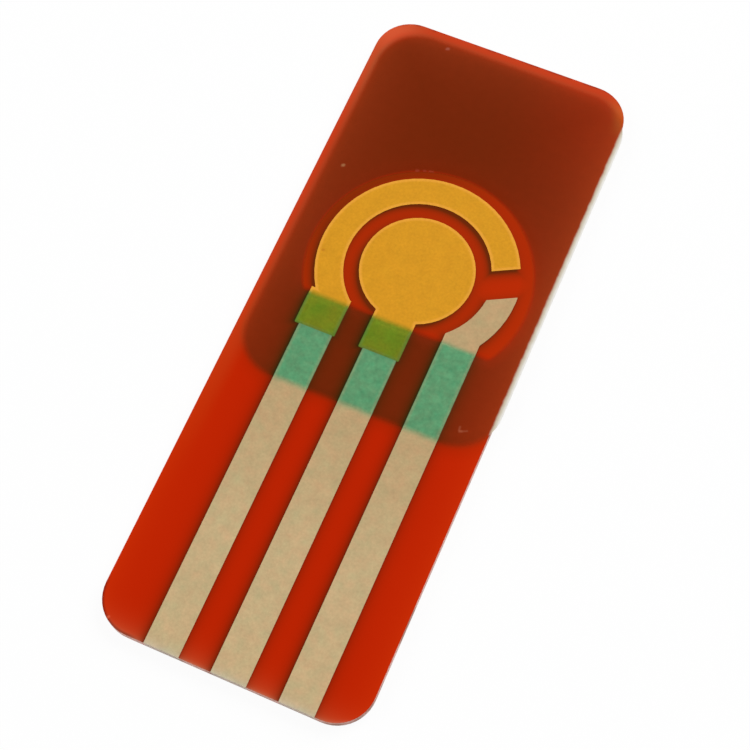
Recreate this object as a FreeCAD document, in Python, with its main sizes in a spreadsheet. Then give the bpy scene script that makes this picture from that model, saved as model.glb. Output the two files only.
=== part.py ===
import FreeCAD, Part
import Sketcher
import math
import os
import re

# Screen printed electrode: a small flat card of translucent red plastic with one printed cell on
# its upper face. Silver ink makes three contact tracks and the reference pad, gold ink makes the
# working disc and the broken counter ring, and a translucent blue-green film covers the middle of
# the card and leaves a round window with one straight side open over the cell.
#
# The underside of the card lies on the XY plane with its middle at the origin. X runs across the
# card, Y runs from the contact end to the cell end and Z points up. All sizes are in millimetres.

SIZES = {
    # The card, punched out of a sheet.
    "plate_width": 10.17,
    "plate_length": 26.22,
    "plate_thickness": 0.5,
    "plate_corner_radius": 1.42,
    # The thickness of each print, and how far a print that runs over the edge of another one
    # stands out past that edge.
    "silver_thickness": 0.025,
    "gold_thickness": 0.02,
    "film_thickness": 0.03,
    "step_cover": 0.03,
    # How far to the right of the card's middle each print was laid.
    "silver_shift": 0.261,
    "gold_shift": 0.21,
    "film_shift": 0.248,
    # The three silver tracks, which run to the contact end.
    "track_pitch": 2.54,
    "track_width": 1.325,
    # The cell: a disc inside a broken ring, both about one centre.
    "cell_from_top": 9.78,
    "disc_diameter": 4.316,
    "ring_inner_diameter": 5.482,
    "ring_outer_diameter": 7.612,
    # The break in the ring, between the end of the counter electrode and the end of the reference
    # pad. Both ends are cut along lines that rise to the right by one angle, and each line passes
    # below the centre of the cell.
    "break_angle": 27.7,
    "counter_end_drop": 0.275,
    "reference_end_drop": 1.392,
    # The reference pad carries the ring on. It is a little narrower than the ring, on its inner
    # side, and its centre lies a little to the left of the silver print's middle and above the
    # centre of the cell.
    "pad_narrowing": 0.05,
    "pad_left": 0.03,
    "pad_rise": 0.12,
    # The gold tabs that lead down from the ring and the disc and lap over the silver tracks. The
    # drops are measured from the centre of the cell.
    "tab_width": 1.585,
    "tab_shoulder_drop": 2.075,
    "tab_end_drop": 3.62,
    "tab_overlap": 1.12,
    # The film and its window.
    "film_width": 10.02,
    "film_corner_radius": 1.7,
    "film_top_margin": 0.38,
    "contact_length": 10.59,
    "window_diameter": 8.52,
    "window_shift": 0.304,
    "window_drop": 0.127,
    "window_edge_drop": 2.3,
}

document = FreeCAD.newDocument("ScreenPrintedElectrode")
sheet = document.addObject("Spreadsheet::Sheet", "Sizes")
for row, (name, value) in enumerate(SIZES.items(), start=1):
    sheet.set(f"A{row}", name)
    sheet.set(f"B{row}", str(value))
    sheet.setAlias(f"B{row}", name)
document.recompute()

# Levels and places that several pieces share, written with the names of the sizes.
SURFACE = "plate_thickness"
SILVER_TOP = "plate_thickness + silver_thickness"
GOLD_TOP = "plate_thickness + gold_thickness"
LAP_TOP = "plate_thickness + silver_thickness + gold_thickness"
CONTACT_END = "-plate_length / 2"
CELL_Y = "plate_length / 2 - cell_from_top"
SHOULDER_Y = CELL_Y + " - tab_shoulder_drop"
TAB_END_Y = CELL_Y + " - tab_end_drop"
SILVER_END_Y = CELL_Y + " - tab_end_drop + tab_overlap"
RING_INNER = "ring_inner_diameter / 2"
RING_OUTER = "ring_outer_diameter / 2"
PAD_X = "silver_shift - pad_left"
PAD_Y = CELL_Y + " + pad_rise"


def in_sheet(text):
    """Points each size that an expression names to its cell in the sheet."""
    return re.sub(r"\b([a-z]+_[a-z_]+)\b", r"Sizes.\1", text)


def bind(item, **expressions):
    """Ties properties of an object to expressions of the sizes."""
    for name, text in expressions.items():
        item.setExpression(name.replace("__", "."), in_sheet(text))


def box(name, left, right, front, back, bottom, top):
    """A box between six planes."""
    item = document.addObject("Part::Box", name)
    bind(item, Length=f"({right}) - ({left})", Width=f"({back}) - ({front})",
         Height=f"({top}) - ({bottom})", Placement__Base__x=left,
         Placement__Base__y=front, Placement__Base__z=bottom)
    return item


def cylinder(name, x, y, radius, bottom, top):
    """An upright cylinder between two levels."""
    item = document.addObject("Part::Cylinder", name)
    bind(item, Radius=radius, Height=f"({top}) - ({bottom})", Placement__Base__x=x,
         Placement__Base__y=y, Placement__Base__z=bottom)
    return item


def joined(name, *pieces):
    """The union of several solids."""
    item = document.addObject("Part::MultiFuse", name)
    item.Shapes = list(pieces)
    return item


def shared(name, *pieces):
    """The space that several solids share."""
    item = document.addObject("Part::MultiCommon", name)
    item.Shapes = list(pieces)
    return item


def less(name, base, tool):
    """A solid with another one taken away."""
    item = document.addObject("Part::Cut", name)
    item.Base = base
    item.Tool = tool
    return item


def rounded_plate(name, x, y, width, length, radius, bottom, top):
    """A flat plate with four equal rounded corners about a middle point."""
    body = document.addObject("PartDesign::Body", name)
    sketch = body.newObject("Sketcher::SketchObject", name + "_outline")
    ground = [item for item in body.Origin.OriginFeatures if item.Role == "XY_Plane"]
    sketch.AttachmentSupport = (ground[0], [""])
    sketch.MapMode = "FlatFace"
    bind(sketch, AttachmentOffset__Base__x=x, AttachmentOffset__Base__y=y,
         AttachmentOffset__Base__z=bottom)
    # The outline is drawn at a rough size, anticlockwise from the side at the contact end, each
    # side with the corner that follows it. The dimensions then give it the real size.
    half, corner = 4.0, 1.0
    straight = half - corner
    upright = FreeCAD.Vector(0, 0, 1)
    sides = []
    corners = []
    for turn in range(4):
        spin = FreeCAD.Rotation(upright, 90 * turn)
        start = spin.multVec(FreeCAD.Vector(-straight, -half))
        stop = spin.multVec(FreeCAD.Vector(straight, -half))
        centre = spin.multVec(FreeCAD.Vector(straight, -straight))
        circle = Part.Circle(centre, upright, corner)
        arc = Part.ArcOfCircle(circle, (turn - 1) * math.pi / 2, turn * math.pi / 2)
        sides.append(sketch.addGeometry(Part.LineSegment(start, stop)))
        corners.append(sketch.addGeometry(arc))
    for turn in range(4):
        following = sides[(turn + 1) % 4]
        direction = "Vertical" if turn % 2 else "Horizontal"
        sketch.addConstraint(Sketcher.Constraint(direction, sides[turn]))
        sketch.addConstraint(Sketcher.Constraint("Tangent", sides[turn], 2, corners[turn], 1))
        sketch.addConstraint(Sketcher.Constraint("Tangent", corners[turn], 2, following, 1))
    for arc in corners[1:]:
        sketch.addConstraint(Sketcher.Constraint("Equal", corners[0], arc))
    sketch.addConstraint(
        Sketcher.Constraint("Symmetric", corners[3], 3, corners[1], 3, -1, 1))
    dimensions = {
        "corner": (Sketcher.Constraint("Radius", corners[0], corner), radius),
        "across": (Sketcher.Constraint("DistanceX", sides[3], 1, sides[1], 1, 2 * half), width),
        "along": (Sketcher.Constraint("DistanceY", sides[0], 1, sides[2], 1, 2 * half), length),
    }
    for label, (constraint, text) in dimensions.items():
        sketch.renameConstraint(sketch.addConstraint(constraint), label)
        bind(sketch, **{"Constraints__" + label: text})
    pad = body.newObject("PartDesign::Pad", name + "_pad")
    pad.Profile = sketch
    bind(pad, Length=f"({top}) - ({bottom})")
    return body


def above_line(name, x, drop, bottom, top):
    """A box on the upper side of the line that cuts an end beside the break in the ring."""
    item = document.addObject("Part::Box", name)
    bind(item, Length="ring_outer_diameter", Width="ring_outer_diameter",
         Height=f"({top}) - ({bottom})", Placement__Rotation__Angle="break_angle",
         Placement__Base__x=f"{x} + {drop} * sin(break_angle * 1 deg)",
         Placement__Base__y=f"{CELL_Y} - {drop} * cos(break_angle * 1 deg)",
         Placement__Base__z=bottom)
    return item


# The card itself.
substrate = rounded_plate("substrate", "0", "0", "plate_width", "plate_length",
                          "plate_corner_radius", "0", SURFACE)

# The sides of the silver tracks and of the gold tabs, from the left.
COUNTER_LEFT = "silver_shift - track_pitch - track_width / 2"
COUNTER_RIGHT = "silver_shift - track_pitch + track_width / 2"
WORKING_LEFT = "silver_shift - track_width / 2"
WORKING_RIGHT = "silver_shift + track_width / 2"
REFERENCE_LEFT = "silver_shift + track_pitch - track_width / 2"
REFERENCE_RIGHT = "silver_shift + track_pitch + track_width / 2"
COUNTER_TAB_LEFT = "gold_shift - track_pitch - tab_width / 2"
COUNTER_TAB_RIGHT = "gold_shift - track_pitch + tab_width / 2"
WORKING_TAB_LEFT = "gold_shift - tab_width / 2"
WORKING_TAB_RIGHT = "gold_shift + tab_width / 2"

# The silver tracks of the ring and the disc, which end under their gold tabs.
counter_track = box("counter_track", COUNTER_LEFT, COUNTER_RIGHT, CONTACT_END, SILVER_END_Y,
                    SURFACE, SILVER_TOP)
working_track = box("working_track", WORKING_LEFT, WORKING_RIGHT, CONTACT_END, SILVER_END_Y,
                    SURFACE, SILVER_TOP)

# The reference track widens into a pad that fills the last part of the ring, up to the break. Its
# sides are arcs like the ring's, about a centre of their own.
reference_strip = box("reference_strip", REFERENCE_LEFT, REFERENCE_RIGHT, CONTACT_END, CELL_Y,
                      SURFACE, SILVER_TOP)
reference_round = cylinder("reference_round", PAD_X, PAD_Y, RING_OUTER, SURFACE, SILVER_TOP)
reference_side = box("reference_side", REFERENCE_LEFT, "silver_shift + ring_outer_diameter",
                     CONTACT_END, f"{CELL_Y} + ring_outer_diameter", SURFACE, SILVER_TOP)
reference_hollow = cylinder("reference_hollow", PAD_X, PAD_Y, f"{RING_INNER} + pad_narrowing",
                            SURFACE, SILVER_TOP)
reference_end = above_line("reference_end", "silver_shift", "reference_end_drop",
                           SURFACE, SILVER_TOP)
reference_track = less(
    "reference_track",
    shared("reference_outline", reference_side,
           joined("reference_blank", reference_strip, reference_round)),
    joined("reference_waste", reference_hollow, reference_end))


def lapped(name, outline, tab, lap, track):
    """A gold print that steps up onto the silver track beneath its tab."""
    raised = shared(name + "_raised", tab, lap)
    return less(name, joined(name + "_print", outline, raised), track)


# The counter electrode: the ring from its free end to the shoulder of its tab, and the tab.
counter_ring = less(
    "counter_ring",
    cylinder("counter_round", "gold_shift", CELL_Y, RING_OUTER, SURFACE, GOLD_TOP),
    cylinder("counter_hollow", "gold_shift", CELL_Y, RING_INNER, SURFACE, GOLD_TOP))
counter_side = box("counter_side", "gold_shift - ring_outer_diameter", "gold_shift",
                   SHOULDER_Y, f"{CELL_Y} + ring_outer_diameter", SURFACE, GOLD_TOP)
counter_end = above_line("counter_end", "gold_shift", "counter_end_drop", SURFACE, GOLD_TOP)
counter_arc = shared("counter_arc", counter_ring,
                     joined("counter_reach", counter_side, counter_end))
counter_foot = box("counter_foot", COUNTER_TAB_LEFT, COUNTER_TAB_RIGHT, TAB_END_Y, SHOULDER_Y,
                   SURFACE, GOLD_TOP)
counter_tab = box("counter_tab", COUNTER_TAB_LEFT, COUNTER_TAB_RIGHT, TAB_END_Y, SHOULDER_Y,
                  SURFACE, LAP_TOP)
counter_lap = box("counter_lap", f"{COUNTER_LEFT} - step_cover",
                  f"{COUNTER_RIGHT} + step_cover", TAB_END_Y, f"{SILVER_END_Y} + step_cover",
                  SURFACE, LAP_TOP)
counter_electrode = lapped("counter_electrode",
                           joined("counter_flat", counter_arc, counter_foot),
                           counter_tab, counter_lap, counter_track)

# The working electrode: the disc and its tab.
working_disc = cylinder("working_disc", "gold_shift", CELL_Y, "disc_diameter / 2",
                        SURFACE, GOLD_TOP)
working_foot = box("working_foot", WORKING_TAB_LEFT, WORKING_TAB_RIGHT, TAB_END_Y, CELL_Y,
                   SURFACE, GOLD_TOP)
working_tab = box("working_tab", WORKING_TAB_LEFT, WORKING_TAB_RIGHT, TAB_END_Y, CELL_Y,
                  SURFACE, LAP_TOP)
working_lap = box("working_lap", f"{WORKING_LEFT} - step_cover",
                  f"{WORKING_RIGHT} + step_cover", TAB_END_Y, f"{SILVER_END_Y} + step_cover",
                  SURFACE, LAP_TOP)
working_electrode = lapped("working_electrode",
                           joined("working_flat", working_disc, working_foot),
                           working_tab, working_lap, working_track)


def covering(name, left, right, front, back, top):
    """The film's body over one print, wider than the print on every side."""
    return box(name, f"{left} - step_cover", f"{right} + step_cover", f"{front} - step_cover",
               f"{back} + step_cover", SURFACE, f"{top} + film_thickness")


# The film lies on the card and on every print beneath it and rises over each of them. It is laid
# so far to the right that a narrow fringe of it stands out past the card's long side.
film_levels = joined(
    "film_levels",
    box("film_flat", "film_shift - film_width / 2", "film_shift + film_width / 2", CONTACT_END,
        "plate_length / 2", SURFACE, f"{SURFACE} + film_thickness"),
    covering("film_counter_track", COUNTER_LEFT, COUNTER_RIGHT, CONTACT_END, SILVER_END_Y,
             SILVER_TOP),
    covering("film_working_track", WORKING_LEFT, WORKING_RIGHT, CONTACT_END, SILVER_END_Y,
             SILVER_TOP),
    covering("film_reference_track", REFERENCE_LEFT, REFERENCE_RIGHT, CONTACT_END, CELL_Y,
             SILVER_TOP),
    covering("film_counter_tab", COUNTER_TAB_LEFT, COUNTER_TAB_RIGHT, TAB_END_Y, CELL_Y,
             GOLD_TOP),
    covering("film_working_tab", WORKING_TAB_LEFT, WORKING_TAB_RIGHT, TAB_END_Y, CELL_Y,
             GOLD_TOP),
    covering("film_counter_lap", f"{COUNTER_LEFT} - step_cover",
             f"{COUNTER_RIGHT} + step_cover", TAB_END_Y, f"{SILVER_END_Y} + step_cover",
             LAP_TOP),
    covering("film_working_lap", f"{WORKING_LEFT} - step_cover",
             f"{WORKING_RIGHT} + step_cover", TAB_END_Y, f"{SILVER_END_Y} + step_cover",
             LAP_TOP))
film_sheet = rounded_plate("film_sheet", "film_shift", "(contact_length - film_top_margin) / 2",
                           "film_width", "plate_length - contact_length - film_top_margin",
                           "film_corner_radius", SURFACE, f"{LAP_TOP} + film_thickness")
window = shared(
    "window",
    cylinder("window_round", "window_shift", f"{CELL_Y} - window_drop", "window_diameter / 2",
             SURFACE, f"{LAP_TOP} + film_thickness"),
    box("window_side", "window_shift - window_diameter", "window_shift + window_diameter",
        f"{CELL_Y} - window_edge_drop", f"{CELL_Y} + window_diameter", SURFACE,
        f"{LAP_TOP} + film_thickness"))
dielectric_layer = less(
    "dielectric_layer",
    shared("film_body", film_levels, film_sheet),
    joined("film_waste", window, counter_track, working_track, reference_track,
           counter_electrode, working_electrode))

document.recompute()

PIECES = [substrate, counter_track, working_track, reference_track, counter_electrode,
          working_electrode, dielectric_layer]

for item in document.Objects:
    if "Invalid" in item.State or "Error" in item.State:
        raise RuntimeError(f"{item.Name} could not be made: {item.State}")
for piece in PIECES:
    if piece.Shape.isNull() or not piece.Shape.isValid():
        raise RuntimeError(f"{piece.Label} has no sound shape")

os.makedirs("parts", exist_ok=True)
for piece in PIECES:
    piece.Shape.exportStep(f"parts/{piece.Label}.step")
    extent = piece.Shape.BoundBox
    print(f"{piece.Label}: {len(piece.Shape.Solids)} solid, {piece.Shape.Volume:.4f} mm3, "
          f"{extent.XLength:.3f} x {extent.YLength:.3f} x {extent.ZLength:.3f} mm")
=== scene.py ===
# %% [markdown]
# # A screen printed electrode
# This small test card is a red plastic card with thin printed layers on it: three silver ink
# tracks, a gold ink cell at their ends, and a blue-green film over the middle with a window round
# the cell. Its shapes come from CAD as seven fixed pieces, each in its true place. What is left
# for Blender is mostly how they look, so the lesson is about light and procedural materials, and
# about one thin mesh for the film. Everything is in metres, and the materials count in
# millimetres, because that is how a card of this size is drawn.

# %% Load the card
import math
import bmesh
import bpy
from mathutils import Matrix, Vector


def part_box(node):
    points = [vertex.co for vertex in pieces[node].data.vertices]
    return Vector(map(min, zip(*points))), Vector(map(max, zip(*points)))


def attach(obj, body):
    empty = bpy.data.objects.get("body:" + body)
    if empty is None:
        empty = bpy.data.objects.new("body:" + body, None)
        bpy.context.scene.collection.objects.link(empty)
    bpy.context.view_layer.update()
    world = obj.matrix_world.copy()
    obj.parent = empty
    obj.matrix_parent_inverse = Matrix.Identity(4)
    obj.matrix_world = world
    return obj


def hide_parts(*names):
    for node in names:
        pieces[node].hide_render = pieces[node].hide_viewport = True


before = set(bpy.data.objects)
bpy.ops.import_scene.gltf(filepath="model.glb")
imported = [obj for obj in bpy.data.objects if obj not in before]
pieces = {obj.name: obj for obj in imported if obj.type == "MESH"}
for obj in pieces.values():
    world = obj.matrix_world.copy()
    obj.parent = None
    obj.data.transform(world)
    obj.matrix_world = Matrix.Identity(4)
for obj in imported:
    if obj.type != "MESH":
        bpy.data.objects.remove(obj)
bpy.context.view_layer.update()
print("pieces:", ", ".join(sorted(pieces)))

# %% [markdown]
# ## The camera
# The photographer stood over the contact end, a little to its right, and turned the camera so that
# the card runs from the lower left to the upper right. The three directions below were worked out
# from the straight sides of the card in the picture. A matrix made from them places the camera
# more exactly than angles typed by eye. The card is only 60 mm away, so the near clip has to be
# small.

# %% Stand the camera
camera_data = bpy.data.cameras.new("camera")
camera_data.sensor_width = 36.0
camera_data.lens = 80.2266
camera_data.clip_start = 0.005
camera = bpy.data.objects.new("camera", camera_data)
right = Vector((0.9160352, 0.3997182, -0.0332395))
up = Vector((-0.3618442, 0.8592994, 0.3614879))
back = Vector((0.1730559, -0.3191081, 0.9317842))
stand = Vector((0.0108522, -0.0202949, 0.0566535))
turn = Matrix((right, up, back)).transposed().to_4x4()
camera.matrix_world = Matrix.Translation(stand) @ turn
bpy.context.scene.collection.objects.link(camera)
bpy.context.scene.camera = camera
print("camera distance in mm:", round(1000 * camera.location.length, 1))

# %% [markdown]
# ## Light at a plain level
# A colour comes out as it is written when the light that falls on it adds up to one. A lamp's
# share of that sum falls with the square of its distance and with its slant, so the power that
# gives a chosen share can be worked out instead of guessed. Two soft lamps do most of the work
# here: one behind the right of the cell end, because the prints look darkest beside their near
# left sides, and a broad one opposite it. The pale surroundings give the rest.

# %% Hang two soft lamps
bpy.context.scene.view_settings.view_transform = "Standard"
main_share, fill_share = 0.54, 0.30


def hang_lamp(name, towards, distance, width, share):
    """A square soft lamp that gives flat things lying on the table this share of full light."""
    direction = Vector(towards).normalized()
    data = bpy.data.lights.new(name, "AREA")
    data.shape, data.size = "SQUARE", width
    data.energy = share * math.pi ** 2 * distance ** 2 / direction.z
    lamp = bpy.data.objects.new(name, data)
    lamp.location = direction * distance
    lamp.rotation_euler = direction.to_track_quat("Z", "Y").to_euler()
    bpy.context.scene.collection.objects.link(lamp)
    print(name, "power in W:", round(data.energy, 3))


hang_lamp("main_lamp", (0.34, 0.66, 0.67), 0.40, 0.26, main_share)
hang_lamp("fill_lamp", (-0.70, -0.35, 0.62), 0.45, 0.36, fill_share)

# %% [markdown]
# ## Pale surroundings
# A pale room lights the card softly from all round. Rays that look at the room, straight, in a
# reflection or through glass, find plain white. All other rays find a smaller share of light,
# which brings the sum a little above one.

# %% Fill the surroundings
def looking_rays(tree):
    """One for rays that look, straight, in a reflection or through glass, or else zero."""
    rays = tree.nodes.new("ShaderNodeLightPath")
    found = rays.outputs["Is Camera Ray"]
    for kind in ("Is Glossy Ray", "Is Transmission Ray"):
        either = tree.nodes.new("ShaderNodeMath")
        either.operation = "MAXIMUM"
        tree.links.new(found, either.inputs[0])
        tree.links.new(rays.outputs[kind], either.inputs[1])
        found = either.outputs[0]
    return found


surroundings_share = 0.28
world = bpy.data.worlds.new("surroundings")
bpy.context.scene.world = world
world.use_nodes = True
tree = world.node_tree
tree.nodes.clear()
fill = tree.nodes.new("ShaderNodeBackground")
fill.inputs["Color"].default_value = (1.0, 1.0, 1.0, 1.0)
fill.inputs["Strength"].default_value = surroundings_share
seen = tree.nodes.new("ShaderNodeBackground")
seen.inputs["Color"].default_value = (1.0, 1.0, 1.0, 1.0)
chooser = tree.nodes.new("ShaderNodeMixShader")
tree.links.new(looking_rays(tree), chooser.inputs["Fac"])
tree.links.new(fill.outputs[0], chooser.inputs[1])
tree.links.new(seen.outputs[0], chooser.inputs[2])
tree.links.new(chooser.outputs[0], tree.nodes.new("ShaderNodeOutputWorld").inputs["Surface"])
print("surroundings' share of full light:", surroundings_share)

# %% [markdown]
# ## The table
# The picture's background is plain white. A white table alone would come out light grey wherever
# the light falls short of full, and more light would bleach the card. So the camera sees the table
# mostly as a plain white glow, and the rest is an ordinary white surface that still takes the
# card's soft shadow.

# %% Lay the table
table_half = 1.0
under_card = 0.00002
whiteness, glow_share = 0.93, 0.93
table_mesh = bpy.data.meshes.new("table")
table_mesh.from_pydata([(-table_half, -table_half, 0), (table_half, -table_half, 0),
                        (table_half, table_half, 0), (-table_half, table_half, 0)],
                       [], [(0, 1, 2, 3)])
table = bpy.data.objects.new("table", table_mesh)
table.location.z = -under_card
bpy.context.scene.collection.objects.link(table)

table_white = bpy.data.materials.new("table_white")
table_white.use_nodes = True
tree = table_white.node_tree
tree.nodes.clear()
plain = tree.nodes.new("ShaderNodeBsdfDiffuse")
plain.inputs["Color"].default_value = (whiteness, whiteness, whiteness, 1.0)
glow = tree.nodes.new("ShaderNodeEmission")
glow.inputs["Strength"].default_value = 1.0
part = tree.nodes.new("ShaderNodeMath")
part.operation = "MULTIPLY"
part.inputs[1].default_value = glow_share
chooser = tree.nodes.new("ShaderNodeMixShader")
tree.links.new(looking_rays(tree), part.inputs[0])
tree.links.new(part.outputs[0], chooser.inputs["Fac"])
tree.links.new(plain.outputs[0], chooser.inputs[1])
tree.links.new(glow.outputs[0], chooser.inputs[2])
tree.links.new(chooser.outputs[0], tree.nodes.new("ShaderNodeOutputMaterial").inputs["Surface"])
table_mesh.materials.append(table_white)
print("table laid", 2000 * table_half, "mm wide")

# %% [markdown]
# ## A bench for wiring nodes
# The materials below are worked out from places on the card, such as how far a point is from a
# print's edge. That takes many small nodes, and each is two or three lines of Python when added
# plainly. The bench keeps one tree and adds a node per call, so that the steps that follow read
# like the sums they are. Colours are given as picked on a screen, from 0 to 255, and turned into
# the straight numbers that Blender mixes with.

# %% Make the bench
def picked(red, green, blue):
    """A screen colour in straight numbers, as a colour socket takes it."""
    straight = [c / 12.92 if c <= 0.04045 else ((c + 0.055) / 1.055) ** 2.4
                for c in (red / 255, green / 255, blue / 255)]
    return (*straight, 1.0)


class Bench:
    """One node tree. Each call adds a node, feeds it, and gives back what it puts out."""

    def __init__(self, tree):
        self.tree = tree

    def add(self, kind, **settings):
        node = self.tree.nodes.new("ShaderNode" + kind)
        for name, value in settings.items():
            setattr(node, name, value)
        return node

    def feed(self, socket, source):
        if isinstance(source, bpy.types.NodeSocket):
            self.tree.links.new(source, socket)
        else:
            socket.default_value = source

    def sum(self, operation, *sources):
        node = self.add("Math", operation=operation)
        for socket, source in zip(node.inputs, sources):
            self.feed(socket, source)
        return node.outputs[0]

    def vector(self, operation, *sources):
        node = self.add("VectorMath", operation=operation)
        for socket, source in zip(node.inputs, sources):
            self.feed(socket, source)
        return node.outputs["Value" if operation in ("LENGTH", "DOT_PRODUCT") else "Vector"]

    def split(self, place):
        """A place's three numbers: to the right, along the card to its cell end, and up."""
        node = self.add("SeparateXYZ")
        self.feed(node.inputs[0], place)
        return node.outputs

    def fade(self, source, start, end, low=0.0, high=1.0):
        """A smooth change from low to high as source goes from start to end."""
        node = self.add("MapRange", interpolation_type="SMOOTHSTEP")
        for socket, value in zip(node.inputs, (source, start, end, low, high)):
            self.feed(socket, value)
        return node.outputs[0]

    def mix(self, share, first, second, way="MIX"):
        node = self.add("Mix", data_type="RGBA", blend_type=way)
        for index, source in ((0, share), (6, first), (7, second)):
            self.feed(node.inputs[index], source)
        return node.outputs[2]

    def lighten(self, share, colour, light):
        """Adds a little red, green and blue light to a colour, by this share."""
        return self.mix(share, colour, self.mix(1.0, colour, (*light, 1), "ADD"))

    def die_away(self, distance, reach):
        """One at zero, about a third at one reach from it. Distance and reach differ in sign."""
        return self.sum("EXPONENT", self.sum("DIVIDE", distance, reach))

    def noise(self, place, size, detail=2.0, roughness=0.5):
        """Soft noise around 0.5 whose lumps are about size mm across."""
        node = self.add("TexNoise")
        for name, source in (("Vector", place), ("Scale", 1.0 / size), ("Detail", detail),
                             ("Roughness", roughness)):
            self.feed(node.inputs[name], source)
        return node.outputs[0]

    def use(self, group, **given):
        """Places a node group, with an underscore for each space in its input names."""
        node = self.add("Group", node_tree=group)
        for name, source in given.items():
            self.feed(node.inputs[name.replace("_", " ")], source)
        return node.outputs


def new_group(name, inputs, outputs):
    """A shader node group with named sockets: its bench, what comes in and what goes out."""
    tree = bpy.data.node_groups.new(name, "ShaderNodeTree")
    for labels, way in ((inputs, "INPUT"), (outputs, "OUTPUT")):
        for label, kind in labels.items():
            tree.interface.new_socket(label, in_out=way, socket_type="NodeSocket" + kind)
    arrivals, departures = tree.nodes.new("NodeGroupInput"), tree.nodes.new("NodeGroupOutput")
    return tree, Bench(tree), arrivals.outputs, departures.inputs


print("orange as numbers:", [round(c, 3) for c in picked(214, 150, 39)])

# %% [markdown]
# ## How far from a print's edge?
# Nearly everything on the card happens at an edge: the rim of an ink, the shade beside it, the
# fading border of the film. An image map would hold these at one sharpness only. A distance worked
# out in the material stays sharp at any size. Two shapes are enough, a rounded rectangle and a
# circle. Both give millimetres to the edge, below zero inside.

# %% Measure from straight and round edges
STRAIGHT, bench, given, result = new_group(
    "Distance to a Straight Print",
    {"Place": "Vector", "Centre": "Vector", "Half Size": "Vector", "Corner Radius": "Float"},
    {"Distance": "Float"})
corner = given["Corner Radius"]
offset = bench.vector("ABSOLUTE", bench.vector("SUBTRACT", given["Place"], given["Centre"]))
inset = bench.add("CombineXYZ")
bench.feed(inset.inputs[0], corner)
bench.feed(inset.inputs[1], corner)
beyond = bench.vector("ADD", bench.vector("SUBTRACT", offset, given["Half Size"]),
                      inset.outputs[0])
x, y, _ = bench.split(beyond)
flat = bench.vector("MULTIPLY", beyond, (1, 1, 0))
outside = bench.vector("LENGTH", bench.vector("MAXIMUM", flat, (0, 0, 0)))
inside = bench.sum("MINIMUM", bench.sum("MAXIMUM", x, y), 0.0)
bench.feed(result["Distance"], bench.sum("SUBTRACT", bench.sum("ADD", outside, inside), corner))

ROUND, bench, given, result = new_group(
    "Distance to a Round Print",
    {"Place": "Vector", "Centre": "Vector", "Radius": "Float"}, {"Distance": "Float"})
offset = bench.vector("SUBTRACT", given["Place"], given["Centre"])
away = bench.vector("LENGTH", bench.vector("MULTIPLY", offset, (1, 1, 0)))
bench.feed(result["Distance"], bench.sum("SUBTRACT", away, given["Radius"]))
print("edge measures:", STRAIGHT.name, "and", ROUND.name)

# %% [markdown]
# ## Where the inks are
# The silver and gold prints are CAD pieces, but the card and the film have to know where they are,
# because the card is darker beside a print and the film changes colour over one. This group holds
# the drawing of the whole print. Its straight sides are read from the boxes of the CAD pieces, and
# what a box can't tell is written here, within a hundredth of a millimetre of the CAD. The ends
# of the ring and of the reference pad lie on slanting lines, 27.7 degrees from level.

# %% Read the drawing from the CAD pieces
def box_mm(node):
    low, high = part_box(node)
    return low * 1000, high * 1000


card_low, card_high = box_mm("substrate")
film_low, film_high = box_mm("dielectric_layer")
counter_low, counter_high = box_mm("counter_track")
working_low, working_high = box_mm("working_track")
reference_low, reference_high = box_mm("reference_track")
ring_low, ring_high = box_mm("counter_electrode")
disc_low, disc_high = box_mm("working_electrode")

track_width = counter_high.x - counter_low.x
disc_radius = (disc_high.x - disc_low.x) / 2
cell = Vector(((disc_high.x + disc_low.x) / 2, disc_high.y - disc_radius, 0))
ring_outside = ring_high.y - cell.y
ring_inside = 2.741
pad_centre, pad_inside = Vector((0.231, 3.45, 0)), 2.791
pad_outside = reference_high.x - pad_centre.x
silver_middle = Vector((0.261, cell.y, 0))
tab_half, tab_inset, shoulder = 0.7925, 0.4665, 1.255
tab_left = ring_low.x + tab_inset
tab_right, tab_end = tab_left + 2 * tab_half, ring_low.y
tilt, ring_end_drop, pad_end_drop = math.radians(27.7), 0.275, 1.392
card_corner, film_corner = 1.42, 1.7
window, window_radius, window_line = Vector((0.304, 3.203, 0)), 4.26, 1.03
print("cell centre in mm:", [round(v, 3) for v in cell], "disc radius:", round(disc_radius, 3))
print("ring radii:", ring_inside, round(ring_outside, 3), "track width:", round(track_width, 3))

# %% Put the drawing in a group
INKS, bench, given, result = new_group(
    "Distance to the Inks", {"Place": "Vector"},
    {"Counter": "Float", "Working": "Float", "Reference": "Float", "Silver": "Float",
     "Gold": "Float"})
place = given["Place"]


def straight_print(x_low, x_high, y_low, y_high, corner=0.05):
    """Distance to a strip between these sides."""
    centre = ((x_low + x_high) / 2, (y_low + y_high) / 2, 0)
    half_size = ((x_high - x_low) / 2, (y_high - y_low) / 2, 0)
    return bench.use(STRAIGHT, Place=place, Centre=centre, Half_Size=half_size,
                     Corner_Radius=corner)["Distance"]


def slanting_end(centre, drop):
    """Below zero above a line that passes under the centre at this drop, tilted as the ends are."""
    start = (centre.x + drop * math.sin(tilt), centre.y - drop * math.cos(tilt), 0)
    return bench.vector("DOT_PRODUCT", bench.vector("SUBTRACT", place, start),
                        (math.sin(tilt), -math.cos(tilt), 0))


def ring_band(centre, inside, outside):
    """Distance to a whole ring."""
    middle, half_band = (inside + outside) / 2, (outside - inside) / 2
    away = bench.use(ROUND, Place=place, Centre=tuple(centre), Radius=middle)["Distance"]
    return bench.sum("SUBTRACT", bench.sum("ABSOLUTE", away), half_band)


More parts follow.
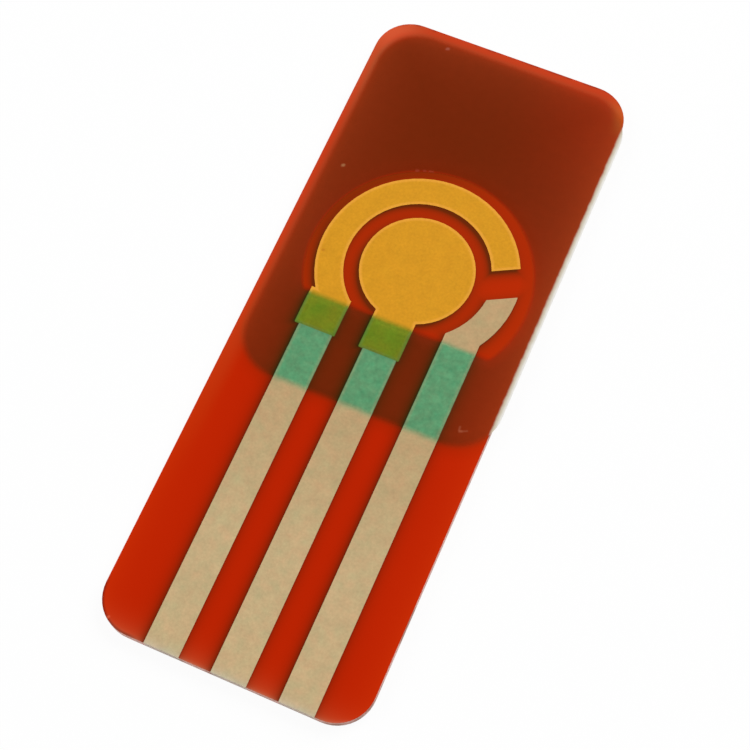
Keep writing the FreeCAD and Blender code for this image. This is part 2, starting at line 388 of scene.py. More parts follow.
past_card, into_pad, into_disc, under_shoulder = card_low.y - 1.0, 1.5, 1.8, 0.3
x, y, _ = bench.split(place)
counter_strip = straight_print(counter_low.x, counter_high.x, past_card, counter_high.y)
working_strip = straight_print(working_low.x, working_high.x, past_card, working_high.y)
reference_strip = straight_print(reference_low.x, reference_low.x + track_width, past_card,
                                 into_pad)
left_half = bench.sum("MAXIMUM", bench.sum("SUBTRACT", x, cell.x),
                      bench.sum("SUBTRACT", shoulder - under_shoulder, y))
ring = bench.sum("MAXIMUM", ring_band(cell, ring_inside, ring_outside),
                 bench.sum("MINIMUM", slanting_end(cell, ring_end_drop), left_half))
ring = bench.sum("MAXIMUM", ring, bench.sum("MINIMUM", bench.sum("SUBTRACT", x, tab_right),
                                            bench.sum("SUBTRACT", shoulder, y)))
disc = bench.use(ROUND, Place=place, Centre=tuple(cell), Radius=disc_radius)["Distance"]
ring_tab = straight_print(tab_left, tab_right, tab_end, shoulder)
disc_tab = straight_print(cell.x - tab_half, cell.x + tab_half, tab_end, into_disc)
pad = bench.sum("MAXIMUM", ring_band(pad_centre, pad_inside, pad_outside),
                bench.sum("MULTIPLY", slanting_end(silver_middle, pad_end_drop), -1.0))
pad = bench.sum("MAXIMUM", pad, bench.sum("SUBTRACT", reference_low.x, x))
gold_ring = bench.sum("MINIMUM", ring, ring_tab)
gold_disc = bench.sum("MINIMUM", disc, disc_tab)
reference = bench.sum("MINIMUM", reference_strip, pad)
bench.feed(result["Counter"], bench.sum("MINIMUM", gold_ring, counter_strip))
bench.feed(result["Working"], bench.sum("MINIMUM", gold_disc, working_strip))
bench.feed(result["Reference"], reference)
two_tracks = bench.sum("MINIMUM", counter_strip, working_strip)
bench.feed(result["Silver"], bench.sum("MINIMUM", two_tracks, reference))
bench.feed(result["Gold"], bench.sum("MINIMUM", gold_ring, gold_disc))
print("drawing nodes:", len(INKS.nodes))

# %% [markdown]
# ## Shade beside the prints
# Light goes into the red plastic, wanders, and comes out again up to a millimetre away. An opaque
# ink lets none in, so the plastic beside it is darker, most on the side away from the lamp. Real
# scattering could make this, but it is slow, noisy, and lost when the part leaves Blender. So the
# group works it out: light falls off towards each print, and the drawing leans a little away from
# the lamp, which makes the near side of each print the darker one. The card and the film both use
# it.

# %% Make the shade
SHADE, bench, given, result = new_group(
    "Shade Beside the Inks",
    {"Place": "Vector", "Strength": "Float", "Width": "Float", "Lean": "Vector"},
    {"Light": "Float"})
darkest = -0.045
drawing = bench.use(INKS, Place=bench.vector("ADD", given["Place"], given["Lean"]))
light = 1.0
for electrode in ("Counter", "Working", "Reference"):
    reach = bench.sum("DIVIDE", bench.sum("MAXIMUM", drawing[electrode], darkest), given["Width"])
    loss = bench.sum("MULTIPLY", given["Strength"],
                     bench.sum("EXPONENT", bench.sum("MULTIPLY", reach, -1.0)))
    left = bench.sum("MAXIMUM", bench.sum("SUBTRACT", 1.0, loss), 0.0)
    light = bench.sum("MULTIPLY", light, left)
bench.feed(result["Light"], light)
print("shade nodes:", len(SHADE.nodes))

# %% [markdown]
# ## Where the film lies
# The film is a rounded sheet with one window: a circle cut off by a straight line below the cell.
# Its ink thins out at its borders, so the colour fades over a few tenths of a millimetre, and a
# trace of it runs on past the edge. The group tells how much of the film's colour a place has. The
# card and the inks use it too, so that the fade goes on outside the film's own solid. A second
# output spreads wider: inside the plastic, light wanders from the bare red under the film and
# back, so the red is dimmer beside the film, and the film is lighter beside the red.

# %% Make the cover of the film
FILM, bench, given, result = new_group(
    "Cover of the Film", {"Place": "Vector"}, {"Share": "Float", "Spread": "Float"})
film_middle, film_half = (film_low + film_high) / 2, (film_high - film_low) / 2
outer_fade, circle_fade, line_fade = (0.22, -0.17), (0.11, -0.10), (-0.13, 0.17)
spread_fade, spread_shift = (0.5, -0.4), (-0.08, 0.2, 0)


def film_borders(bench, place):
    """Distances to the sheet's outside and the window's circle, and to the line, upwards."""
    half_size = (film_half.x, film_half.y, 0)
    sheet = bench.use(STRAIGHT, Place=place, Centre=(film_middle.x, film_middle.y, 0),
                      Half_Size=half_size, Corner_Radius=film_corner)["Distance"]
    circle = bench.use(ROUND, Place=place, Centre=tuple(window), Radius=window_radius)["Distance"]
    return sheet, circle, bench.sum("SUBTRACT", bench.split(place)[1], window_line)


sheet, circle, above_line = film_borders(bench, given["Place"])
opening = bench.sum("MULTIPLY", bench.fade(circle, *circle_fade),
                    bench.fade(above_line, *line_fade))
bench.feed(result["Share"], bench.sum("MULTIPLY", bench.fade(sheet, *outer_fade),
                                      bench.sum("SUBTRACT", 1.0, opening)))
sheet, circle, above_line = film_borders(
    bench, bench.vector("ADD", given["Place"], spread_shift))
in_window = bench.sum("MINIMUM", bench.sum("MULTIPLY", circle, -1.0), above_line)
bench.feed(result["Spread"], bench.fade(bench.sum("MAXIMUM", sheet, in_window), *spread_fade))
print("film spans in mm:", [round(2 * v, 2) for v in film_half])

# %% [markdown]
# ## Seen through the film
# A coloured film multiplies what lies under it: it eats most of the red and passes green and blue,
# so silver turns blue-green, gold turns green and red plastic turns brown. Mixing in a flat film
# colour could not give all three. The group multiplies the bare colour by a filter, adds the
# little light that the film itself throws back, and blends by the film's share.

# %% Make the look through the film
THROUGH, bench, given, result = new_group(
    "Seen Through the Film",
    {"Bare": "Color", "Filter": "Color", "Haze": "Color", "Share": "Float"}, {"Color": "Color"})
filtered = bench.mix(1.0, bench.mix(1.0, given["Bare"], given["Filter"], "MULTIPLY"),
                     given["Haze"], "ADD")
bench.feed(result["Color"], bench.mix(given["Share"], given["Bare"], filtered))


def filmed(bench, bare, passed, share):
    """A bare colour seen through the film, where passed holds the filter and the haze."""
    return bench.use(THROUGH, Bare=bare, Filter=passed[0], Haze=passed[1], Share=share)["Color"]


print("look through the film:", THROUGH.name)

# %% [markdown]
# ## Grain of the prints
# Screen printed ink dries with a fine orange-peel grain from the mesh, and in slightly uneven
# patches, a little pinker in one place and greener in another. The sizes are given in millimetres,
# so that each ink can have its own. The first group gives the three kinds of waves, and the second
# lays them over a colour, each by its own amount.

# %% Make the grain
GRAIN, bench, given, result = new_group(
    "Ink Grain", {"Place": "Vector", "Grain Size": "Float", "Patch Size": "Float"},
    {"Grain": "Float", "Patches": "Float", "Tint": "Float"})
elsewhere = 31.7
for label, source, detail, shift in (("Grain", "Grain Size", 1.5, 0.0),
                                     ("Patches", "Patch Size", 3.0, 0.0),
                                     ("Tint", "Patch Size", 5.0, elsewhere)):
    texture = bench.add("TexNoise")
    bench.feed(texture.inputs["Vector"], bench.vector("ADD", given["Place"], (shift, 0, 0)))
    bench.feed(texture.inputs["Scale"], bench.sum("DIVIDE", 1.0, given[source]))
    bench.feed(texture.inputs["Detail"], detail)
    bench.feed(result[label], texture.outputs[0])
print("grain nodes:", len(GRAIN.nodes))

# %% Lay the grain over a colour
UNEVEN, bench, given, result = new_group(
    "Uneven Ink",
    {"Color": "Color", "Grain": "Float", "Patches": "Float", "Tint": "Float",
     "Fine": "Float", "Patchy": "Float", "Tinted": "Float"}, {"Color": "Color"})
colour = given["Color"]
for wave, amount, channels in (("Grain", "Fine", (1, 1, 1)), ("Patches", "Patchy", (1, 1, 1)),
                               ("Tint", "Tinted", (1, -0.3, -0.2))):
    swing = bench.sum("SUBTRACT", bench.sum("MULTIPLY", given[wave], 2.0), 1.0)
    swing = bench.sum("MULTIPLY", swing, given[amount])
    change = bench.vector("MULTIPLY_ADD", channels, swing, (1, 1, 1))
    colour = bench.mix(1.0, colour, change, "MULTIPLY")
bench.feed(result["Color"], colour)


def uneven(bench, colour, grain, fine, patchy, tinted):
    """Lays a grain over a colour, each kind of wave by its own amount."""
    return bench.use(UNEVEN, Color=colour, Grain=grain["Grain"], Patches=grain["Patches"],
                     Tint=grain["Tint"], Fine=fine, Patchy=patchy, Tinted=tinted)["Color"]


print("uneven ink:", UNEVEN.name)

# %% [markdown]
# ## Small marks
# The real card has a few marks: two pale specks and a small hook-shaped scratch in the film, three
# faint dashes over the window, a fleck on the gold ring, and a pale dot at the card's lower left
# corner. They are marks of this card and stay where the photograph shows them. One group makes an
# uneven stroke between two points, and a speck is a very short stroke.

# %% Make a mark
MARK, bench, given, result = new_group(
    "Mark", {"Place": "Vector", "Start": "Vector", "End": "Vector", "Width": "Float"},
    {"Mask": "Float"})
run = bench.vector("SUBTRACT", given["End"], given["Start"])
offset = bench.vector("SUBTRACT", given["Place"], given["Start"])
way = bench.sum("DIVIDE", bench.vector("DOT_PRODUCT", offset, run),
                bench.vector("DOT_PRODUCT", run, run))
way = bench.sum("MINIMUM", bench.sum("MAXIMUM", way, 0.0), 1.0)
nearest_point = bench.add("VectorMath", operation="SCALE")
bench.feed(nearest_point.inputs[0], run)
bench.feed(nearest_point.inputs["Scale"], way)
aside = bench.vector("SUBTRACT", offset, nearest_point.outputs[0])
away = bench.vector("LENGTH", bench.vector("MULTIPLY", aside, (1, 1, 0)))
wobble = bench.sum("SUBTRACT", bench.noise(given["Place"], 0.11), 0.5)
widths_away = bench.sum("ADD", bench.sum("DIVIDE", away, given["Width"]), wobble)
bench.feed(result["Mask"], bench.fade(widths_away, 1.35, 0.2))
print("mark:", MARK.name)


def mark(bench, place, look, start, end, width, colour, share):
    """Lays one mark of this colour over a look."""
    mask = bench.use(MARK, Place=place, Start=(*start, 0), End=(*end, 0), Width=width)["Mask"]
    return bench.mix(bench.sum("MULTIPLY", mask, share), look, picked(*colour))


# %% [markdown]
# ## The red of the bare card
# Three groups give the bare colours of the card and its two inks, because the film's material
# needs them as much as the pieces themselves do. The red is deep in the middle of the card, and
# near the cut edges it lightens, where light gets in from the side.

# %% Mix the bare red
RED, bench, given, result = new_group("Bare Red", {"Place": "Vector"}, {"Color": "Color"})


def card_rim(bench, place):
    """Millimetres to the card's cut edge, below zero on the card and never above."""
    rim = bench.use(STRAIGHT, Place=place, Centre=(0, 0, 0),
                    Half_Size=(card_high.x, card_high.y, 0), Corner_Radius=card_corner)["Distance"]
    return bench.sum("MINIMUM", rim, 0.0)


place = given["Place"]
x, y, _ = bench.split(place)
rim = card_rim(bench, place)
glow = bench.die_away(rim, 0.5)
deep = bench.mix(bench.noise(place, 3.0), picked(187, 33, 0), picked(190, 35, 0))
red = bench.mix(bench.sum("MULTIPLY", glow, 0.8), deep, picked(200, 45, 4))
print("red nodes so far:", len(RED.nodes))

# %% [markdown]
# ## Painted light along the red's rim
# The red pales along the rim that the film doesn't cover, up the left side and along the top:
# painted light from the cut edge of the see-through plastic. It also pales over the last fraction
# of a millimetre at the contact end. The upper left corner carries a painted highlight, the
# strongest of all, and the upper right corner pales a little with painted light too.

# %% Pale the red along the rim
bare_rim = bench.sum("MULTIPLY", bench.fade(film_borders(bench, place)[0], -0.13, 0.09),
                     bench.fade(rim, -0.85, -0.25))
up_side = bench.sum("ADD", bench.fade(y, -8.5, 2.0, 0.0, 0.022),
                    bench.fade(y, 7.0, 12.0, 0.0, 0.026))
at_top = bench.fade(y, 12.0, 12.5, 0.0, 0.027)
on_left = bench.fade(x, -3.0, -4.2)
# The band up the left side and along the top is painted light from the cut edge.
painted_rim_light = bench.sum("ADD", bench.sum("MULTIPLY", up_side, on_left),
                     bench.sum("MULTIPLY", at_top, bench.sum("SUBTRACT", 1.0, on_left)))
painted_rim_light = bench.sum("MULTIPLY", painted_rim_light, bare_rim)
pale = bench.mix(bench.fade(y, -8.0, 5.0), (0, 1, 0.12, 1), (0, 1, 0.42, 1))
red = bench.mix(1.0, red, bench.mix(painted_rim_light, (0, 0, 0, 1), pale), "ADD")
above_foot = bench.sum("MAXIMUM", bench.sum("SUBTRACT", y, card_low.y), 0.0)
red = bench.lighten(bench.die_away(above_foot, -0.3), red, (0, 0.046, 0.019))
at_cut = bench.sum("MULTIPLY", bench.die_away(rim, 0.05), bench.fade(y, -12.6, -13.0))
red = bench.lighten(at_cut, red, (0, 0.085, 0.060))
# Two corner spots: a painted highlight at the upper left and painted light at the upper right.
for spot, reach, within, light in (
        ((-4.65, 12.45, 0), 1.1, bare_rim, (0.105, 0.020, 0.010)),
        ((4.82, 12.25, 0), 1.0, bench.fade(rim, -0.6, 0.0), (0.02, 0.042, 0.006))):
    from_spot = bench.use(ROUND, Place=place, Centre=spot, Radius=0.1)["Distance"]
    corner = bench.sum("MULTIPLY", bench.fade(from_spot, reach, 0.0), within)
    red = bench.lighten(corner, red, light)
print("red nodes so far:", len(RED.nodes))

# %% [markdown]
# ## Painted shade on the edges and light lost to the film
# A thin line of painted shade, where the cut edge rounds over, runs along the rim at the lower left
# corner and in dashes along the top. Beside the film the red is a little dimmer, which is what the
# film's second output is for.

# %% Paint shade on the edges and finish the red
lower_left = bench.sum("MULTIPLY", bench.fade(y, -11.3, -11.9), bench.fade(x, -3.1, -3.6))
dashes = bench.sum("MULTIPLY", bench.fade(y, 12.5, 12.9),
                   bench.fade(bench.noise(place, 0.5, 3.0), 0.44, 0.62, 0.0, 0.6))
# A thin line of painted shade where the cut edge rounds over.
painted_edge_shade = bench.sum("MULTIPLY", bench.fade(rim, -0.12, -0.03, 0.0, 0.62),
                   bench.sum("MAXIMUM", lower_left, dashes))
red = bench.mix(painted_edge_shade, red, picked(110, 30, 14))
spread = bench.use(FILM, Place=place)["Spread"]
dimmed = bench.mix(spread, (1, 1, 1, 1), (0.82, 1, 1, 1))
bench.feed(result["Color"], bench.mix(1.0, red, dimmed, "MULTIPLY"))
print("red nodes:", len(RED.nodes))

# %% [markdown]
# ## The bare inks
# The silver is whitest in the last fraction of a millimetre at the contact end. The gold has a
# lighter rim, a painted highlight.

# %% Mix the bare silver ink
SILVER, bench, given, result = new_group("Bare Silver Ink", {"Place": "Vector"},
                                         {"Color": "Color"})
y = bench.split(given["Place"])[1]
silver = bench.mix(bench.fade(y, -2.6, -9.0), picked(187, 159, 116), picked(196, 171, 128))
at_end = bench.die_away(bench.sum("SUBTRACT", y, card_low.y), -0.14)
silver = bench.mix(at_end, silver, picked(197, 185, 157))
grain = bench.use(GRAIN, Place=given["Place"], Grain_Size=0.10, Patch_Size=0.42)
bench.feed(result["Color"], uneven(bench, silver, grain, 0.12, 0.13, 0.15))
print("silver nodes:", len(SILVER.nodes))

# %% Mix the bare gold ink
GOLD, bench, given, result = new_group("Bare Gold Ink", {"Place": "Vector"}, {"Color": "Color"})
edge = bench.use(INKS, Place=given["Place"])["Gold"]
# The lighter rim is a painted highlight.
gold = bench.mix(bench.fade(edge, -0.15, -0.05), picked(213, 149, 33), picked(230, 160, 54))
grain = bench.use(GRAIN, Place=given["Place"], Grain_Size=0.10, Patch_Size=0.5)
bench.feed(result["Color"], uneven(bench, gold, grain, 0.13, 0.09, 0.03))
print("gold nodes:", len(GOLD.nodes))

# %% [markdown]
# ## What the film does over the red
# Over the red card the film looks brown, and lighter towards the card's edges and above the
# window, because light that entered beside the film comes up through it once instead of twice.

# %% Make the filter over the red card
BROWN, bench, given, result = new_group(
    "Film Over Red", {"Place": "Vector"}, {"Filter": "Color", "Haze": "Color"})
place = given["Place"]
x, y, _ = bench.split(place)
deep_red_passed = 0.383
near_rim = bench.die_away(card_rim(bench, place), 1.35)
rightwards = bench.sum("MULTIPLY", bench.fade(x, 0.0, 4.5), bench.fade(y, 7.5, 12.8, 0.04, 0.15))
lift = bench.sum("ADD", bench.sum("MULTIPLY", near_rim, 0.225), rightwards)
circle = bench.use(ROUND, Place=place, Centre=tuple(window), Radius=window_radius)["Distance"]
near_window = bench.die_away(bench.sum("MAXIMUM", circle, 0.0), -0.35)
near_window = bench.sum("MULTIPLY", near_window, bench.fade(y, 0.5, 2.0))
lift = bench.sum("ADD", lift, bench.sum("MULTIPLY", near_window, 0.12))
passed = bench.add("CombineColor")
for channel, source in enumerate((bench.sum("ADD", deep_red_passed, lift), 1.0, 1.0)):
    bench.feed(passed.inputs[channel], source)
bench.feed(result["Filter"], passed.outputs[0])
hazy = bench.sum("MULTIPLY", near_rim, bench.fade(y, -2.5, 3.0, 0.5, 1.0))
bench.feed(result["Haze"], bench.mix(hazy, (0, 0.0010, 0.0016, 1), (0, 0.0115, 0.0056, 1)))
print("filter over red:", BROWN.name)

# %% [markdown]
# ## Starting a finish
# Every finish begins alike: an empty material with one shader, and the place on the card counted
# in millimetres. Three small tools do that, make a bump from a height, and put a finish on its
# pieces.

# %% Make the tools for a finish
def new_finish(name):
    """An empty material with its Principled shader, its bench and its place in millimetres."""
    material = bpy.data.materials.new(name)
    material.use_nodes = True
    tree = material.node_tree
    tree.nodes.clear()
    bench = Bench(tree)
    shader = bench.add("BsdfPrincipled")
    bench.feed(bench.add("OutputMaterial").inputs["Surface"], shader.outputs[0])
    spot = bench.add("TexCoord").outputs["Object"]
    return material, bench, shader.inputs, bench.vector("MULTIPLY", spot, (1000, 1000, 1000))


def bump(bench, height, strength, depth_mm):
    node = bench.add("Bump")
    bench.feed(node.inputs["Height"], height)
    bench.feed(node.inputs["Strength"], strength)
    bench.feed(node.inputs["Distance"], depth_mm / 1000)
    return node.outputs[0]


def dress(material, *names):
    for name in names:
        pieces[name].data.materials.clear()
        pieces[name].data.materials.append(material)
    print(material.name, "on", ", ".join(names))


print("tools:", ", ".join(tool.__name__ for tool in (new_finish, bump, dress)))

# %% [markdown]
# ## The red card's face
# The face is darker beside the prints. Between the ring and the film a strip of red lies shut in,
# and little light reaches it, least at the upper left. Where the film's solid ends, its fading
# border still tints the face.

# %% Colour the card's face
LEAN, SHADE_WIDTH = (0.055, 0.16, 0.0), 0.19
red_card, bench, card, place = new_finish("red_card")
light = bench.use(SHADE, Place=place, Strength=0.72, Width=SHADE_WIDTH, Lean=LEAN)["Light"]
bare = bench.use(RED, Place=place)["Color"]
shaded = bench.mix(light, picked(92, 29, 4), bare)
from_cell = bench.vector("SUBTRACT", place, tuple(cell))
x, y, _ = bench.split(from_cell)
to_upper_left = bench.sum("MULTIPLY", bench.sum("SUBTRACT", y, x), 0.707)
away = bench.vector("LENGTH", bench.vector("MULTIPLY", from_cell, (1, 1, 0)))
past_ring = bench.fade(away, 3.75, 3.95)
circle = bench.use(ROUND, Place=place, Centre=tuple(window), Radius=window_radius)["Distance"]
opening = bench.sum("MULTIPLY", bench.fade(circle, 0.25, -0.05), bench.fade(y, -2.4, -2.0))
shut_in = bench.sum("MULTIPLY", bench.sum("MULTIPLY", past_ring, opening),
                    bench.fade(to_upper_left, 1.0, 4.2, 0.2, 1.0))
shaded = bench.mix(shut_in, shaded, bench.mix(1.0, shaded, (0.66, 1.0, 1.2, 1), "MULTIPLY"))
shaded = bench.lighten(opening, shaded, (0, 0.0075, 0.0008))
shaded = mark(bench, place, shaded, (-4.462, -12.79), (-4.45, -12.76), 0.05, (222, 96, 62), 0.7)
over = bench.use(BROWN, Place=place)
share = bench.use(FILM, Place=place)["Share"]
face = filmed(bench, shaded, (over["Filter"], over["Haze"]), share)
print("red card nodes so far:", len(bench.tree.nodes))

# %% [markdown]
# ## The red card's sides and underside
# The card was punched out, so its cut sides are frosted and paler, with torn patches, and the ends
# of the silver tracks show on the contact end. Height tells the parts of the card apart: the face
# is at the very top, the underside at the very bottom, and the rest belongs to the sides. From
# below, the opaque prints show through the plastic as soft darker shapes, painted as shade.

# %% Colour the sides and finish the red card
level = bench.split(place)[2]
frost = bench.noise(bench.vector("MULTIPLY", place, (1, 1, 0.25)), 0.12, 4.0, 0.65)
cut = bench.mix(frost, picked(206, 140, 124), picked(244, 212, 202))
tears = bench.fade(bench.noise(place, 1.1, 3.0), 0.50, 0.62)
cut = bench.mix(bench.sum("MULTIPLY", tears, 0.7), cut, picked(158, 116, 98))
drawing = bench.use(INKS, Place=place)
ink_end = bench.fade(drawing["Silver"], 0.04, -0.04, 0.0, 0.8)
cut = bench.mix(ink_end, cut, picked(206, 196, 180))
nearest = bench.sum("MINIMUM", drawing["Reference"],
                    bench.sum("MINIMUM", drawing["Counter"], drawing["Working"]))
# Under the prints the underside is painted darker, as their shade.
below = bench.mix(bench.fade(nearest, 0.5, -0.5), bare, picked(150, 30, 3))
sides = bench.mix(bench.fade(level, 0.02, 0.005), cut, below)
on_top = bench.fade(level, card_high.z - 0.006, card_high.z - 0.002)
bench.feed(card["Base Color"], bench.mix(on_top, sides, face))
face_roughness = bench.mix(bench.noise(place, 1.5, 4.0), (0.34, 0.34, 0.34, 1),
                           (0.46, 0.46, 0.46, 1))
bench.feed(card["Roughness"], bench.mix(on_top, (0.62, 0.62, 0.62, 1), face_roughness))
card["Specular IOR Level"].default_value = 0.02
frost_on_sides = bench.sum("MULTIPLY", frost, bench.sum("SUBTRACT", 1.0, on_top))
waves = bench.sum("ADD", bench.noise(place, 2.5), frost_on_sides)
bench.feed(card["Normal"], bump(bench, waves, 0.35, 0.03))
dress(red_card, "substrate")

# %% [markdown]
# ## The silver ink
# The tracks are matt and slightly warm, a little lighter and whiter towards the contact end where
# the connector touches them. Where the film starts, its fading border tints them.

# %% Finish the silver ink
silver_ink, bench, ink, place = new_finish("silver_ink")
grain = bench.use(GRAIN, Place=place, Grain_Size=0.085, Patch_Size=0.5)
bare = bench.use(SILVER, Place=place)["Color"]
share = bench.use(FILM, Place=place)["Share"]
ink_haze = (0, 0.002, 0.003, 1)
over_silver = ((0.225, 0.88, 0.83, 1), ink_haze)
bench.feed(ink["Base Color"], filmed(bench, bare, over_silver, share))
bench.feed(ink["Roughness"], bench.fade(grain["Patches"], 0.3, 0.7, 0.58, 0.72))
ink["Specular IOR Level"].default_value = 0.05
bench.feed(ink["Normal"], bump(bench, grain["Grain"], 0.5, 0.012))
dress(silver_ink, "counter_track", "working_track", "reference_track")

# %% [markdown]
# ## The gold ink
# Gold ink is oranger and lies more evenly than the silver. Its rim looks lighter, as if it stood
# up a little and caught the light, and that is painted into its colour as a highlight. One
# darker fleck sits on the left of the ring.

# %% Finish the gold ink
gold_ink, bench, ink, place = new_finish("gold_ink")
grain = bench.use(GRAIN, Place=place, Grain_Size=0.10, Patch_Size=1.2)
bare = bench.use(GOLD, Place=place)["Color"]
bare = mark(bench, place, bare, (-3.36, 2.75), (-3.33, 2.77), 0.06, (180, 108, 26), 0.6)
share = bench.use(FILM, Place=place)["Share"]
over_gold = ((0.235, 0.69, 0.60, 1), ink_haze)
bench.feed(ink["Base Color"], filmed(bench, bare, over_gold, share))
bench.feed(ink["Roughness"], bench.fade(grain["Grain"], 0.3, 0.7, 0.48, 0.6))
ink["Specular IOR Level"].default_value = 0.05
bench.feed(ink["Normal"], bump(bench, grain["Grain"], 0.45, 0.010))
dress(gold_ink, "counter_electrode", "working_electrode")

# %% [markdown]
# ## The film's sheet
# The CAD film is a plain slab, and its cut borders would catch the light as hard dark lines. The
# real one thins out to nothing at its borders and sinks softly over the steps of the prints. That
# is a height for every place, so the sheet is a fine grid of points, each lifted to its height.
# Grid lines run along the edges of the prints. Points next to the border slide onto it, which
# turns the staircase of a plain grid into the true rounded outline.

# %% Measure the film in plain Python
def from_straight(x, y, centre, half_size, corner):
    """Millimetres to a rounded rectangle, below zero inside."""
    dx, dy = abs(x - centre.x) - half_size.x + corner, abs(y - centre.y) - half_size.y + corner
    return math.hypot(max(dx, 0), max(dy, 0)) + min(max(dx, dy), 0) - corner


def from_film(x, y):
    """Millimetres from the film's border, below zero on the film."""
    opening = max(math.hypot(x - window.x, y - window.y) - window_radius, window_line - y)
    return max(from_straight(x, y, film_middle, film_half, film_corner), -opening)


def smooth(value):
    value = min(max(value, 0.0), 1.0)
    return value * value * (3 - 2 * value)


SHOULDER = 0.035
silver_height, gold_height, film_thickness = 0.025, 0.020, 0.03
thinning, lip, hanging_lip = 0.3, 0.0025, 0.012
up_to = window_line + 0.4
print_strips = [
    (silver_height, counter_low.x, counter_high.x, film_low.y - 1, counter_high.y),
    (silver_height, working_low.x, working_high.x, film_low.y - 1, working_high.y),
    (silver_height, reference_low.x, reference_low.x + track_width, film_low.y - 1, up_to),
    (gold_height, tab_left, tab_right, tab_end, up_to),
    (gold_height, cell.x - tab_half, cell.x + tab_half, tab_end, up_to)]


def film_height(x, y):
    """The height of the film's upper side at a place."""
    height = card_high.z
    for thickness, low, high, start, end in print_strips:
        within = min(x - low, high - x, y - start, end - y)
        height += thickness * smooth(0.5 + within / (2 * SHOULDER))
    least = hanging_lip if x > card_high.x else lip
    return height + max(film_thickness * smooth(-from_film(x, y) / thinning), least)


print("film height in mm on card, silver, lap:",
      [round(film_height(*spot), 3) for spot in ((0, 10), (2.8, -1), (0.2, 0.3))])

# %% Build the sheet
GRID_PITCH, MERGE_DISTANCE = 0.11, 0.01


def grid_lines(low, high, pitch, edges):
    """Lines from low to high, about a pitch apart, with three on the shoulder of each edge."""
    marks = {low, high}
    for edge in edges:
        marks.update(m for m in (edge - SHOULDER, edge, edge + SHOULDER) if low < m < high)
    marks = sorted(marks)
    lines = [low]
    for start, end in zip(marks, marks[1:]):
        steps = max(1, round((end - start) / pitch))
        lines += [start + (end - start) * step / steps for step in range(1, steps + 1)]
    return lines


columns = grid_lines(film_low.x, film_high.x, GRID_PITCH, [card_high.x] + [
    edge for strip in print_strips for edge in strip[1:3]])
rows = grid_lines(film_low.y, film_high.y, GRID_PITCH, [tab_end, counter_high.y, window_line])
sheet = bmesh.new()
points = {}
for i, (left, right_side) in enumerate(zip(columns, columns[1:])):
    for j, (near, far) in enumerate(zip(rows, rows[1:])):
        if from_film((left + right_side) / 2, (near + far) / 2) < 0:
            corners = []
            for column, row in ((i, j), (i + 1, j), (i + 1, j + 1), (i, j + 1)):
                if (column, row) not in points:
                    points[column, row] = sheet.verts.new((columns[column], rows[row], 0))
                corners.append(points[column, row])
            sheet.faces.new(corners)
for point in {v for e in sheet.edges if e.is_boundary for v in e.verts}:
    for _ in range(3):
        x, y, small = point.co.x, point.co.y, 0.001
        slope = Vector((from_film(x + small, y) - from_film(x - small, y),
                        from_film(x, y + small) - from_film(x, y - small))) / (2 * small)
        if slope.length > 0.1:
            point.co.xy -= slope * (from_film(x, y) / slope.length_squared)
bmesh.ops.remove_doubles(sheet, verts=sheet.verts, dist=MERGE_DISTANCE)
for point in sheet.verts:
    point.co.z = film_height(point.co.x, point.co.y)
for face in sheet.faces:
    face.smooth = True
print("film grid:", len(columns), "by", len(rows), "lines,", len(sheet.faces), "faces")

# %% [markdown]
# ## Closing the sheet
# The border is drawn down to just above the card and filled, so that the sheet is a closed body.
# Blender makes the new sides in another order each time the script runs, so the edges and faces
# are sorted by the points that they join, and every run gives the same list of faces.

# %% Close the sheet underneath
OFF_CARD = 0.0005
border = [e for e in sheet.edges if e.is_boundary]
for edge in border:
    edge.smooth = False
drawn = bmesh.ops.extrude_edge_only(sheet, edges=border)["geom"]
for point in (g for g in drawn if isinstance(g, bmesh.types.BMVert)):
    point.co.z = card_high.z + OFF_CARD
lower = [g for g in drawn if isinstance(g, bmesh.types.BMEdge) and g.is_boundary]
bmesh.ops.triangle_fill(sheet, use_beauty=True, edges=lower)
bmesh.ops.recalc_face_normals(sheet, faces=sheet.faces)
sheet.verts.index_update()
point_count = len(sheet.verts)


def fixed_order(part):
    """A number from the lowest points of an edge or a face, the same in each run."""
    number = 0
    for index in sorted(point.index for point in part.verts)[:3]:
        number = number * point_count + index
    return number


sheet.edges.sort(key=fixed_order)
sheet.faces.sort(key=fixed_order)
print("open edges:", sum(e.is_boundary for e in sheet.edges), "faces:", len(sheet.faces))

# %% Put the sheet in the CAD film's place
bmesh.ops.scale(sheet, vec=(0.001, 0.001, 0.001), verts=sheet.verts)
film_mesh = bpy.data.meshes.new("film_sheet")
sheet.to_mesh(film_mesh)
sheet.free()
film_sheet = bpy.data.objects.new("film_sheet", film_mesh)
bpy.context.scene.collection.objects.link(film_sheet)
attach(film_sheet, "root")
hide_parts("dielectric_layer")
print("in the film's place:", film_sheet.name, "with", len(film_mesh.vertices), "points")

# %% [markdown]
# ## The film's look
# The film is see-through, but it is thinner than a hair and lies on everything under it. Two faces
# in nearly the same place confuse a renderer, and colour-filtering glass is lost in most file
# formats. So the film carries the looks of what lies under it, filtered by the same group that the
# pieces use. The rims of the silver show lighter through it, as if the film were thinner on their
# shoulders, and the rims of the gold are painted a little darker, as shade at their edges. Below
# the cell the shade leans the other way, so that none lies under the ends of the gold tabs.

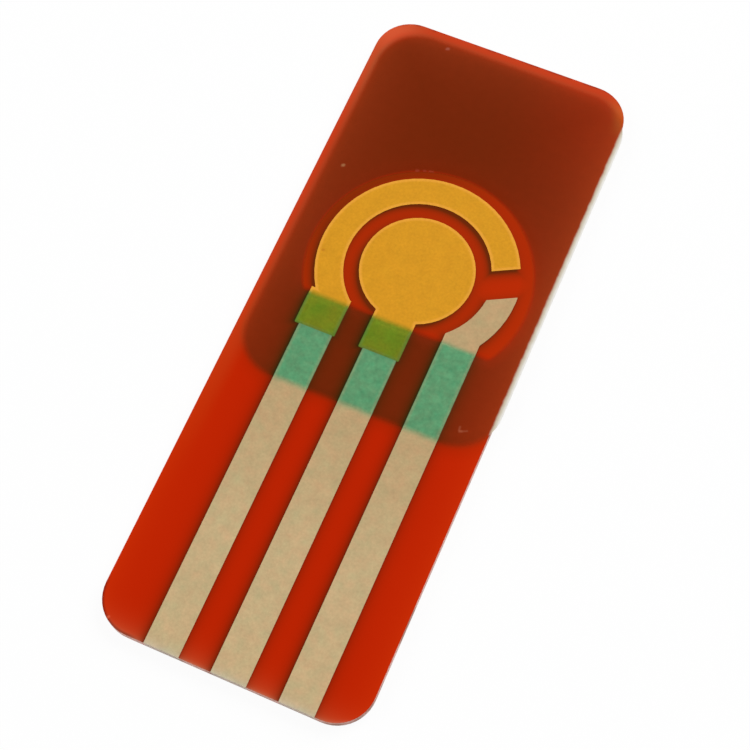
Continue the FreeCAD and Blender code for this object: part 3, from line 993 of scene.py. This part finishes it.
# %% Paint what shows through the film
film_finish, bench, film, place = new_finish("film")
drawing = bench.use(INKS, Place=place)
share = bench.use(FILM, Place=place)["Share"]
x, y, _ = bench.split(place)
lean = bench.mix(bench.fade(y, 0.5, 2.0), (LEAN[0], -0.12, 0, 1), (*LEAN, 1))
light = bench.use(SHADE, Place=place, Strength=0.84, Width=SHADE_WIDTH, Lean=lean)["Light"]
dim = bench.mix(1.0, bench.use(RED, Place=place)["Color"],
                bench.mix(light, (0.12, 1.0, 1.6, 1), (1, 1, 1, 1)), "MULTIPLY")
over = bench.use(BROWN, Place=place)
on_red = filmed(bench, dim, (over["Filter"], over["Haze"]), share)
silver = bench.use(SILVER, Place=place)["Color"]
on_silver = filmed(bench, silver, over_silver, share)
on_silver = bench.mix(bench.fade(drawing["Silver"], -0.15, -0.02, 0.0, 0.20), on_silver, silver)
on_gold = filmed(bench, bench.use(GOLD, Place=place)["Color"], over_gold, share)
# The gold's rims under the film are painted darker, as shade at their edges.
on_gold = bench.mix(bench.fade(drawing["Gold"], -0.14, -0.02), on_gold,
                    bench.mix(1.0, on_gold, (0.72, 0.84, 1.1, 1), "MULTIPLY"))
grain = bench.use(GRAIN, Place=place, Grain_Size=0.12, Patch_Size=0.30)
broad = bench.use(GRAIN, Place=place, Grain_Size=0.12, Patch_Size=0.75)
on_red = uneven(bench, on_red, grain, 0.02, 0.05, 0.03)
on_silver = uneven(bench, on_silver, grain, 0.16, 0.24, 0.27)
on_gold = uneven(bench, on_gold, broad, 0.13, 0.14, 0.42)
look = bench.mix(bench.fade(drawing["Silver"], 0.02, -0.02), on_red, on_silver)
look = bench.mix(bench.fade(drawing["Gold"], 0.02, -0.02), look, on_gold)
print("film nodes so far:", len(bench.tree.nodes))

# %% [markdown]
# ## Marks and overhang of the film
# The marks of the film come on top: two specks, the hook in three strokes, and three dashes. On
# the right the film hangs over the card's side by about a sixth of a millimetre, ragged and pale
# against the white.

# %% Mark the film and finish it
for start, end, width, colour, strength in (
        ((-4.11, 6.27), (-4.08, 6.28), 0.075, (160, 104, 66), 0.9),
        ((-2.42, 12.49), (-2.39, 12.51), 0.075, (160, 84, 66), 0.75),
        ((4.011, -1.715), (4.02, -1.84), 0.045, (150, 72, 46), 0.65),
        ((4.06, -1.875), (4.12, -1.85), 0.055, (164, 82, 54), 0.7),
        ((4.12, -1.85), (4.30, -1.765), 0.04, (150, 72, 46), 0.65),
        ((-1.43, 7.14), (-1.38, 7.15), 0.07, (150, 58, 38), 0.6),
        ((-1.17, 7.24), (-1.14, 7.25), 0.06, (150, 58, 38), 0.5),
        ((-0.96, 7.29), (-0.86, 7.31), 0.06, (156, 60, 38), 0.6)):
    look = mark(bench, place, look, start, end, width, colour, strength)
ragged = bench.sum("MULTIPLY", bench.sum("SUBTRACT", bench.noise(place, 0.3, 3.0), 0.5), 0.07)
outward = bench.sum("ADD", x, ragged)
overhang = bench.mix(bench.fade(outward, card_high.x + 0.02, film_high.x), picked(202, 190, 168),
                     picked(234, 232, 226))
look = bench.mix(bench.fade(outward, card_high.x - 0.06, card_high.x + 0.045), look, overhang)
bench.feed(film["Base Color"], look)
bench.feed(film["Roughness"], bench.fade(grain["Patches"], 0.3, 0.7, 0.42, 0.54))
film["Specular IOR Level"].default_value = 0.02
bench.feed(film["Normal"], bump(bench, grain["Grain"], 0.25, 0.006))
film_mesh.materials.append(film_finish)
print("film finish on", film_sheet.name)
